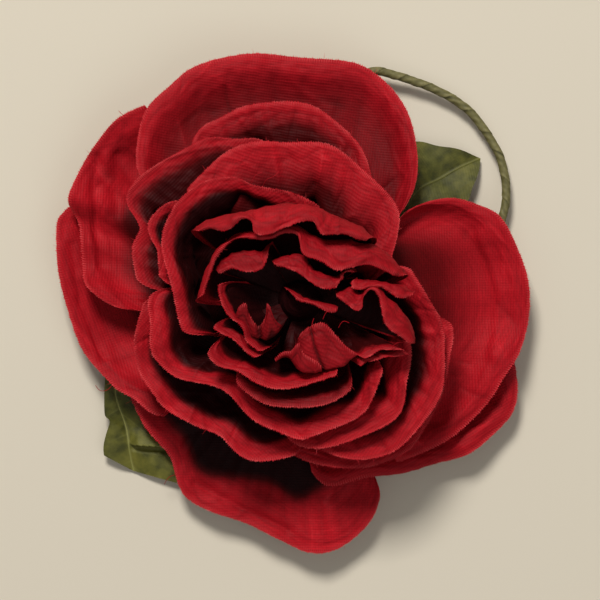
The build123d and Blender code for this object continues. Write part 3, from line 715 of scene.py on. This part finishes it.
add_petal("ruffle_left", 29.8, TURNED_RUFFLE, rim=[
    (-20.4, 6, 40.2), (-18.8, 7, 40.8), (-16.5, 7.9, 41), (-14.3, 7.3, 41.2), (-12.1, 7.1, 41.4),
    (-9.6, 7.7, 41.6), (-8.3, 9.7, 41.6), (-7.6, 13, 41)], crest=[
    (-20.8, 7.2, 38), (-19.2, 9.4, 38.4), (-16.5, 11.3, 38.8), (-12.8, 12, 39), (-9.8, 12.2, 39),
    (-8.4, 13, 39), (-6.6, 14.8, 38.6)],
    lit=4.5, deep=0.05, top=0.6)
add_petal("ruffle_left_loop", 29.8, rim=[
    (-20, 6.4, 40.2), (-19.9, 3.6, 40.5), (-19.6, 0.8, 40.8), (-18.5, -2.5, 41), (-16.3, -5, 41.3),
    (-14.2, -6.7, 41.5), (-13.3, -9.6, 41.2), (-11.3, -11.6, 41), (-7.5, -13.8, 40)],
    profile="wall", fold=0.3, lit=1.5, fade=1.6, deep=0.03, top=0.62, ends=(3, 3))
add_petal("ruffle_right_fold", 29.8, TURNED_RUFFLE, rim=[
    (13.4, 5.4, 41.6), (12.7, 4.6, 41.8), (12.8, 3.4, 42), (13.7, 2.7, 42.2), (14.9, 2.7, 42.2),
    (16.2, 3.2, 42.2), (18, 3.4, 42.1), (19.8, 3.3, 42), (21.2, 2.6, 41.8), (22.6, 1.6, 41.4),
    (24.5, 0.7, 41), (26.4, 0.8, 40.3), (28.8, 1.3, 39.4)], crest=[
    (14.2, 6, 39), (14.2, 5.3, 39.3), (15.4, 5, 39.4), (17, 4.9, 39.4), (19, 4.6, 39.3), (21.4, 4.2, 39),
    (23.8, 3.8, 38.6), (25.8, 3.3, 38.2), (27.4, 2.3, 37.8), (29, 1.7, 37.4)],
    foot_arc=(44, 16), fold=0.12, ends=(1, 2))
add_petal("heart_petal_low", 29.8, HEART, rim=[
    (-6.4, -14.6, 39.2), (-5, -13.2, 40), (-3.5, -12.5, 40.3), (-2.1, -12.4, 40.4), (-0.3, -10.6, 41),
    (0.4, -12, 41), (1.6, -13.4, 40.8), (3.5, -14.7, 40.6), (5.2, -16.2, 40.2)], crest=[
    (-5.8, -15.4, 38.6), (-4.6, -14.4, 39), (-3.2, -13.9, 39.2), (-2.2, -14.4, 39.2), (-1.4, -16, 39.2),
    (-0.2, -17.2, 39.4), (1.8, -17.6, 39.5), (3.8, -17.5, 39.5), (5.4, -17.3, 39.4)],
    foot_arc=(-112, -70), lit=7, fade=3)
add_petal("heart_petal_right", 29.8, HEART, rim=[
    (0.2, -8.4, 40), (1.4, -7, 40.4), (3.4, -6, 40.7), (5.6, -5.6, 40.9), (7.4, -7, 40.8), (9.3, -9.2, 40.7),
    (11.4, -11.4, 40.4), (13.7, -13, 40)], crest=[
    (-1.2, -10.6, 38.4), (0.2, -13.6, 38.6), (2.6, -16.2, 39.2), (5.8, -17.3, 39.9), (8.8, -16.6, 40),
    (11.4, -15.2, 39.9), (13.9, -13.7, 39.6)],
    foot_arc=(-110, -30), wave=7, mark=0.4, lit=9,
    tucks=[((2.4, -6.6), (3.6, -11.6), 0.3), ((3.6, -11.6), (5.6, -17.0), 0.45)])
add_petal("ruffle_centre_top", 31.0, TURNED_RUFFLE, rim=[
    (-6.9, 8.8, 41.4), (-3.8, 8, 41.8), (-0.5, 6.8, 42.1), (1.5, 5.4, 42.3), (3.4, 4, 42.3), (5, 3.2, 42.3),
    (7, 2.9, 42.2), (9, 3.7, 42), (10, 5.2, 42), (10.6, 6.4, 42), (11.6, 7.1, 42), (12.7, 7, 41.8),
    (13.4, 6.2, 41.4)], crest=[
    (-7.2, 9.4, 38.6), (-5.4, 10.4, 39), (-3.4, 11, 39.2), (-1.2, 11.2, 39.4), (0.8, 10.6, 39.5),
    (2.2, 8.8, 39.6), (4.2, 7, 39.8), (7, 6, 39.8), (9.2, 5.8, 39.8), (10.2, 7, 39.6), (11.6, 7.9, 39.4),
    (13.2, 7.8, 39.2), (14.2, 6.8, 39)],
    top=0.64)
add_petal("heart_petal_left", 31.0, HEART, rim=[
    (-16, -3.4, 40.2), (-15, -1.6, 40.8), (-13.3, -0.9, 40.8), (-12.6, -2.8, 40.4), (-11.6, -4.8, 40.2),
    (-10.3, -6.4, 40), (-9.2, -5.4, 40.3), (-8.6, -3, 40.8), (-8, -0.8, 41.1), (-7, -2.6, 41),
    (-6.1, -4.3, 40.6), (-5.3, -5.2, 40.2)], crest=[
    (-16.4, -4.8, 39.4), (-15, -6, 39.2), (-13.4, -7.4, 39), (-11.8, -8.8, 39), (-10, -9.8, 39),
    (-8.2, -9.8, 39.1), (-6.6, -9.2, 39.3), (-5.2, -7.9, 39.4), (-4.4, -6.4, 39.4)],
    foot_arc=(190, 236), fold=0.25, crumple=0.12, deep=0.12, top=0.48,
    tucks=[((-10.2, -6.2), (-9.8, -9.4), 0.6)])
add_petal("ruffle_centre_strip", 32.2, TURNED_RUFFLE, rim=[
    (-4, 2.7, 40), (-2.6, 2.1, 40.4), (-1.4, 1, 40.8), (0, -0.1, 41.1), (2, -0.6, 41.2), (4, -1.3, 41.2),
    (6, -2.3, 41), (7.6, -2.8, 40.8), (9.6, -2.4, 40.2)], crest=[
    (-4.2, 3.1, 38.6), (-2.4, 2.6, 38.9), (-0.8, 1.8, 39.2), (1, 0.9, 39.4), (3, 0.2, 39.5), (5, -0.4, 39.5),
    (7, -1.1, 39.4), (9.8, -2, 39)],
    foot_arc=(120, -10), fold=0.1, lit=2.2, fade=2, deep=0.05, top=0.62)


# ------ leaves
def leaf_cloth():
    s = Shader("leaf_cloth", 0.55)
    green = s.ramp(s.noise(330.0, 6.0), (0.32, (0.048, 0.049, 0.007)),
                   (0.5, (0.100, 0.096, 0.014)), (0.7, (0.155, 0.143, 0.026)))
    broad = s.ramp(s.noise(70.0, 2.0), (0.35, (0.62, 0.66, 0.6)), (0.65, (1.08, 1.08, 1.0)))
    green = s.mix(1.0, green, broad, "MULTIPLY")
    # On a leaf the shade attribute holds its vein mask: the veins are a paler green.
    s.set("Base Color", s.mix(s.attribute("shade"), green, (0.25, 0.245, 0.07)))
    s.set("Specular IOR Level", 0.3)
    s.bump(s.noise(500.0, 3.0), 0.35, 0.0003)
    across, along = s.cloth_place()
    s.bump(s.times(s.stripe(across, 0.5), s.stripe(along, 0.5)), 0.3, 0.0001)
    return s.material


LEAF_CLOTH = leaf_cloth()
LEAF_ROWS = 150
LEAF_COLUMNS = 120
VEIN_WIDTH = 0.22
VEIN_REACH = 9  # side veins fade out this far from the midrib
VEIN_LEAN = 0.85  # how far a side vein runs forward for each millimetre out


def leaf(name, middle, left, right, crease, slit, veins, strong, seed):
    """Leaf blade on a raised midrib.

    crease is the depth of the valley along the midrib, strong how much the midrib and the side veins
    show, and slit where along its length the right half is folded under itself.
    """
    along = even(LEAF_ROWS)
    rib, port, star = through(middle, along), through(left, along), through(right, along)
    u = np.linspace(-1, 1, LEAF_COLUMNS)
    share = np.abs(u)[None, :, None]
    edge = np.where(u[None, :, None] < 0, port[:, None], star[:, None])
    grid = rib[:, None] * (1 - share) + edge * share
    reach = np.linalg.norm((edge - rib[:, None])[..., :2], axis=2) * share[..., 0]
    length = length_of(rib)
    place = along[:, None] * length + 0 * reach
    side = np.sign(u)[None]
    grid[..., 2] += 0.55 * smooth(reach / 6) + 0.28 * ripple(place, reach * side, seed, 11.0, 1.5)
    grid[..., 2] -= crease * np.exp(-reach / 1.6) - 0.25 * np.exp(-((reach / 0.3) ** 2))
    vein = strong[0] * np.exp(-((reach / VEIN_WIDTH) ** 2))
    for k in range(veins):
        start = (k + 0.6) / veins * length
        for way in (-1, 1):
            off = (place - start - 1.4 * (way > 0) - VEIN_LEAN * reach) * (side == way)
            off += VEIN_REACH * (side != way)
            vein += strong[1] * np.exp(-((off / (0.8 * VEIN_WIDTH)) ** 2)) * smooth(1 - reach / VEIN_REACH)
    grid[..., 2] += 0.10 * np.clip(vein, 0, 1)
    if slit:
        lap = (place / length - slit + 0.004 * reach) * (side > 0)
        raised = smooth((lap + 0.14) / 0.14) * (lap < 0) * smooth(reach / 3)
        grid[..., 2] += 2.0 * raised
        # The edge of the folded half is drawn paler too, in the vein mask.
        vein += 0.6 * np.exp(-np.abs(lap / 0.008)) * raised
        under = smooth(1 - np.abs(lap - 0.02) / 0.04) * (lap > 0) * smooth(reach / 1.5)
        grid[..., 2] -= 0.6 * under
    uv = np.stack([(reach * side).ravel(), place.ravel()], 1) * 0.1
    blade = make_mesh(name + "_cloth", grid.reshape(-1, 3), sheet_faces(*reach.shape), uv,
                      np.clip(vein, 0, 1).ravel(), LEAF_CLOTH)
    on_flower(blade, name)


leaf("leaf_right", middle=[
    (20, 15.6, 12.6), (23.5, 20, 10.6), (27, 24.4, 8.4), (30.9, 28.6, 6.2), (35.5, 30.9, 4.4),
    (39.8, 33.4, 3.1), (46.2, 36.25, 1.6)], left=[
    (18.6, 17, 12.4), (19.6, 25, 9.6), (22.4, 33.6, 6.6), (29.1, 40.3, 4), (34.5, 39.5, 3.2),
    (38.75, 38.9, 2.6), (41.6, 38.2, 2.3), (43.75, 37.3, 2), (46.2, 36.25, 1.6)], right=[
    (21.4, 14.6, 12.4), (28, 14.5, 9.6), (35.5, 18.4, 6.8), (43, 25.7, 4.4), (43.75, 27.9, 3.8),
    (44.8, 30.4, 3.1), (45.7, 32.9, 2.4), (46.2, 36.25, 1.6)],
    crease=0.5, slit=None, veins=4, strong=(0.3, 0.1), seed=3)
leaf("leaf_left", middle=[
    (-42.4, -11.4, 5.4), (-45.6, -16, 4.6), (-47.2, -21.9, 3.8), (-46.5, -26.7, 3.1), (-44.7, -31.8, 2.5),
    (-44, -35.4, 2.2), (-43.5, -39.6, 1.9), (-42.6, -43.8, 1.5)], left=[
    (-45, -10.8, 5.6), (-48.6, -15, 5), (-49.7, -20, 4.3), (-49.95, -25, 3.6), (-49.9, -28.6, 3.2),
    (-49.5, -29.9, 3.4), (-48.6, -30.7, 3.2), (-48.9, -32.4, 2.9), (-49.6, -34.5, 2.6), (-50.2, -37.5, 2.2),
    (-50.1, -39.7, 1.9)], right=[
    (-39.8, -11.6, 5.2), (-37, -18, 4.2), (-35, -26, 3.2), (-33, -33, 2.6), (-31.6, -40, 2.2),
    (-31.4, -46.8, 1.4)],
    crease=0.7, slit=0.80, veins=5, strong=(0.75, 0.2), seed=5)


# ------ stem, wires, thread, spring
def ring_faces(rings, sides):
    """Faces joining closed rings of points."""
    index = np.arange(rings * sides).reshape(rings, sides)
    after = np.roll(index, -1, axis=1)
    return np.stack([index[:-1], after[:-1], after[1:], index[1:]], -1).reshape(-1, 4)


def tube(name, line, radius, sides, material, tone=None):
    """Round skin along a line; radius is one number or one for each ring and side."""
    ahead = unit(np.gradient(line, axis=0))
    across = np.cross(ahead[0], (0.3, 0.2, 0.93))
    turn = np.linspace(0, 2 * pi, sides, endpoint=False)
    size = np.broadcast_to(radius, (len(line), sides))
    rings = []
    for i, way in enumerate(ahead):
        across = across - way * np.dot(across, way)
        across = across / np.linalg.norm(across)
        up = np.cross(way, across)
        spoke = np.cos(turn)[:, None] * across + np.sin(turn)[:, None] * up
        rings.append(line[i] + size[i][:, None] * spoke)
    points = np.concatenate(rings + [line[:1], line[-1:]])
    faces = ring_faces(len(line), sides).tolist()
    first, last = len(points) - 2, len(points) - 1
    far = first - sides
    faces += [[first, (k + 1) % sides, k] for k in range(sides)]
    faces += [[last, far + k, far + (k + 1) % sides] for k in range(sides)]
    if tone is not None:
        tone = np.concatenate([tone.ravel(), [0.5, 0.5]])
    return make_mesh(name, points, faces, None, tone, material)


def tape_paper():
    s = Shader("floral_tape", 0.6)
    # The shade attribute here is painted shade and highlight on the wound tape, from dark to light.
    base = s.ramp(s.attribute("shade"), (0.0, (0.030, 0.028, 0.010)),
                  (0.45, (0.120, 0.108, 0.036)), (1.0, (0.225, 0.200, 0.085)))
    crepe = s.ramp(s.noise(900.0, 4.0), (0.3, (0.68, 0.68, 0.64)), (0.7, (1.12, 1.12, 1.1)))
    s.set("Base Color", s.mix(1.0, base, crepe, "MULTIPLY"))
    s.set("Specular IOR Level", 0.35)
    s.bump(s.noise(1100.0, 4.0), 0.5, 0.0002)
    return s.material


def steel(name, colour, rough):
    s = Shader(name, rough, 1.0)
    tarnish = s.ramp(s.noise(160.0, 5.0), (0.4, (0, 0, 0)), (0.75, (0.5, 0.5, 0.5)))
    s.set("Base Color", s.mix(tarnish, colour, tuple(0.8 * c for c in colour)))
    s.bump(s.noise(1500.0, 3.0), 0.08, 0.00008)
    return s.material


def fibre(name, colour, pile, sheen=0.1):
    s = Shader(name, 0.85)
    dark, light = (tuple(share * c for c in colour) for share in (0.6, 1.25))
    s.set("Base Color", s.ramp(s.noise(900.0, 6.0), (0.3, dark), (0.7, light)))
    s.set("Sheen Weight", sheen)
    s.set("Specular IOR Level", 0.08)
    s.bump(s.noise(1400.0, 6.0), 0.6, pile)
    return s.material


TAPE_RADIUS = 1.1
TAPE_STEP = 0.13  # one thickness of tape at its overlapping edge
TAPE_PITCH = 6.5
TAPE_SIDES = 28
STEM = [(3.2, 10.7, 15.5), (5.4, 19.5, 15.4), (9, 36, 10.5), (13, 51, 6.6), (17.5, 58, 5),
        (23.3, 57.6, 4.2), (29.2, 55.8, 3.6), (35, 53.5, 3.2), (40.8, 50.2, 3), (45, 46.3, 3),
        (48.8, 40.8, 3), (51.3, 35.8, 3.2), (52.5, 30, 3.4), (52.5, 25, 3.6), (50, 17, 4.2),
        (44, 9.5, 5.8), (38.5, 4.6, 7.9), (34.5, 2.2, 10.8), (31, 0.4, 13.2), (28, -0.8, 14.5),
        (21, -2.2, 15.5), (11.1, -1.5, 15.5)]
stem_line = through(STEM, even(900))
travel = np.linspace(0, length_of(stem_line), len(stem_line))[:, None]
around = np.linspace(0, 1, TAPE_SIDES, endpoint=False)[None]
lap = (travel / TAPE_PITCH + around + 0.05 * ripple(travel, 0 * travel, 5, 9.0)) % 1
puckers = ripple(travel + 9 * around, travel - 6 * around, 8, 2.6)
tape_radius = TAPE_RADIUS + TAPE_STEP * lap**3 - 0.04 + 0.035 * puckers
# Painted shade and highlight: dark along the edge of each lap where it steps over the one below, lighter just
# before it, and lighter and darker over the puckers.
tape_painted_shade = np.clip(0.58 + 0.16 * puckers + 0.25 * lap**6 - 0.6 * np.exp(-lap / 0.05), 0, 1)
tape = tube("stem_tape_wound", stem_line, tape_radius, TAPE_SIDES, tape_paper(), tape_painted_shade)
on_flower(tape, "stem_tape")

thread_material = fibre("thread", (0.22, 0.012, 0.02), 0.00006)
THREAD_RADIUS = 0.19
THREAD_PITCH = 0.43
WRAP_TURNS = 7
WRAP_PLACES = (4.0, 14.0)
for number, place in enumerate(WRAP_PLACES, start=1):
    for k in range(WRAP_TURNS):
        x = place + (k - (WRAP_TURNS - 1) / 2) * THREAD_PITCH
        slant = float(chance.uniform(-0.12, 0.12))
        loop = through([(x - slant, -4.9, 13.3), (x - slant, -4.95, 12.3), (x, -4.6, 11.5),
                        (x, -3.6, 11.45), (x, 3.6, 11.45), (x, 4.6, 11.5),
                        (x + slant, 4.95, 12.3), (x + slant, 4.9, 13.3)], even(60))
        turn = tube(f"thread_wrap_{number}_turn_{k + 1}", loop, THREAD_RADIUS, 8, thread_material)
        on_flower(turn, f"thread_wrap_{number}")

# Torsion spring: coil about the pin, one leg on the fixed jaw and one on the lever.
HINGE = np.array([-12.0, 0.0, 8.0])
COIL_RADIUS = 1.75
COIL_TURNS = 4.5
COIL_WIDTH = 0.95 * COIL_TURNS
SPRING_WIRE = 0.3  # radius
angle = np.radians(np.arange(0, COIL_TURNS * 360 + 1, 12))
coil = np.stack([HINGE[0] + COIL_RADIUS * np.sin(angle),
                 COIL_WIDTH * (angle / angle[-1] - 0.5),
                 HINGE[2] + COIL_RADIUS * np.cos(angle)], 1)
half = COIL_WIDTH / 2
leg_up = np.array([(HINGE[0] - 7.5, -half, 11.2), (HINGE[0] - 3.6, -half, 10.3)])
leg_down = np.array([(HINGE[0] - 3.6, half, 5.7), (HINGE[0] - 7.5, half, 4.3)])
spring_line = through(np.concatenate([leg_up, coil, leg_down]), even(700))
spring = tube("torsion_spring_wire", spring_line, SPRING_WIRE, 12,
              steel("spring_steel", (0.55, 0.55, 0.56), 0.3))
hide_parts("torsion_spring")
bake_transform(spring)

# Felt backing: a soft disc with a slightly uneven cut edge.
FELT_RADIUS = 19.0
FELT_BOTTOM = 12.5
FELT_TOP = 14.0
RINGS = 90
SPOKES = 260
turns = np.linspace(0, 2 * pi, SPOKES, endpoint=False)
section = through([(0.02, 0, FELT_BOTTOM), (8, 0, FELT_BOTTOM), (17.6, 0, FELT_BOTTOM),
                   (18.8, 0, FELT_BOTTOM + 0.25), (FELT_RADIUS, 0, 13.25), (18.7, 0, FELT_TOP - 0.25),
                   (17.4, 0, FELT_TOP), (14.5, 0, FELT_TOP)], even(RINGS))
uneven = 0.12 * ripple(turns * FELT_RADIUS, 0 * turns, 40, 4.0) * np.sin(turns / 2) ** 0.5
felt_r = section[:, 0][:, None] + uneven[None] * (section[:, 0][:, None] / FELT_RADIUS) ** 6
felt_x, felt_y = felt_r * np.cos(turns), felt_r * np.sin(turns)
felt_z = section[:, 2][:, None] + 0.05 * ripple(felt_x, felt_y, 41, 5.0)
felt_faces = ring_faces(RINGS, SPOKES)[:, [0, 3, 2, 1]].tolist()
felt = make_mesh("felt_backing_cloth", np.stack([felt_x, felt_y, felt_z], 2).reshape(-1, 3),
                 felt_faces, material=fibre("felt", (0.27, 0.014, 0.022), 0.0003))
on_flower(felt, "felt_backing")


# ------ CAD pieces that keep their shape
def dress(node, material):
    for slot in bpy.data.objects[node].material_slots:
        slot.material = material


plated = steel("clip_steel", (0.74, 0.74, 0.76), 0.22)
leaf_wire = fibre("leaf_wire", (0.10, 0.12, 0.035), 0.0001)
dress("fixed_jaw", plated)
dress("lever_jaw", plated)
dress("hinge_pin", steel("pin_steel", (0.7, 0.7, 0.72), 0.25))
# The core is coloured near black: painted shade for the dark hollow at the heart of the bloom.
dress("petal_core", fibre("core_cloth", (0.016, 0.0004, 0.0008), 0.0004, 0.0))
dress("stiffener_disc", fibre("stiffener", (0.20, 0.012, 0.018), 0.0001))
dress("leaf_wire_right", leaf_wire)
dress("leaf_wire_left", leaf_wire)
dress("stem_wire", steel("bare_wire", (0.5, 0.5, 0.5), 0.4))


# ------ loose threads
# Long threads pulled out of a hem: the petal each belongs to, and its route.
LOOSE_THREADS = [
    ("outer_petal_left", [(-47.5, -21.4, 9.8), (-48.9, -22.8, 10.6), (-50.6, -22.9, 10.8),
                          (-51.8, -21.6, 10.2)]),
    ("outer_petal_top", [(-39.6, 45.6, 17.6), (-41.8, 46.8, 18.2), (-44, 46.4, 17.8), (-45.6, 47.6, 16.6)]),
    ("middle_petal_curled", [(-9, 28, 35.6), (-8.2, 29.6, 36.6), (-6.4, 30.4, 36.4), (-5.2, 31.8, 35.6)]),
    ("middle_petal_curled", [(-12, 28.6, 35.4), (-11, 30.6, 36.2), (-9.2, 31.4, 36)]),
    ("heart_petal_right", [(5.6, -4.7, 41), (6.6, -2.9, 41.8), (8.4, -2.4, 42)]),
    ("heart_petal_right", [(9.4, -6.8, 40.8), (10.6, -5.2, 41.6), (12, -5.6, 41.4)]),
    ("heart_petal_right", [(3.4, -4.5, 40.8), (3, -6.4, 42), (4, -8, 41.8)]),
    ("ruffle_right_low", [(22.5, -12, 38.2), (23.6, -10.6, 39), (25.4, -10.4, 38.8)]),
    ("middle_petal_left_strip", [(-36.8, -8, 30.2), (-38.6, -8.6, 30.6), (-39.4, -10.2, 29.8)]),
    ("outer_petal_bottom", [(-31.6, -44.4, 6.4), (-33.4, -45.2, 5.6), (-34.6, -47, 4.2)]),
]
STRAND_POINTS = 24
STRAND_SIDES = 6
STRAND_RADIUS = 0.07

for number, (owner, route) in enumerate(LOOSE_THREADS, start=1):
    line = through(route, even(STRAND_POINTS))
    tone = np.full((STRAND_POINTS, STRAND_SIDES), 0.8)
    strand = tube(f"loose_thread_{number}", line, STRAND_RADIUS, STRAND_SIDES, ROSE, tone)
    on_flower(strand, owner)


# ------ floor
board = Shader("pale_board", 0.7)
board.set("Base Color", (0.64, 0.585, 0.475))
bpy.ops.mesh.primitive_plane_add(size=6, location=(0, 0, -0.0002))
floor = bpy.context.object
floor.name = "floor"
floor.data.materials.append(board.material)
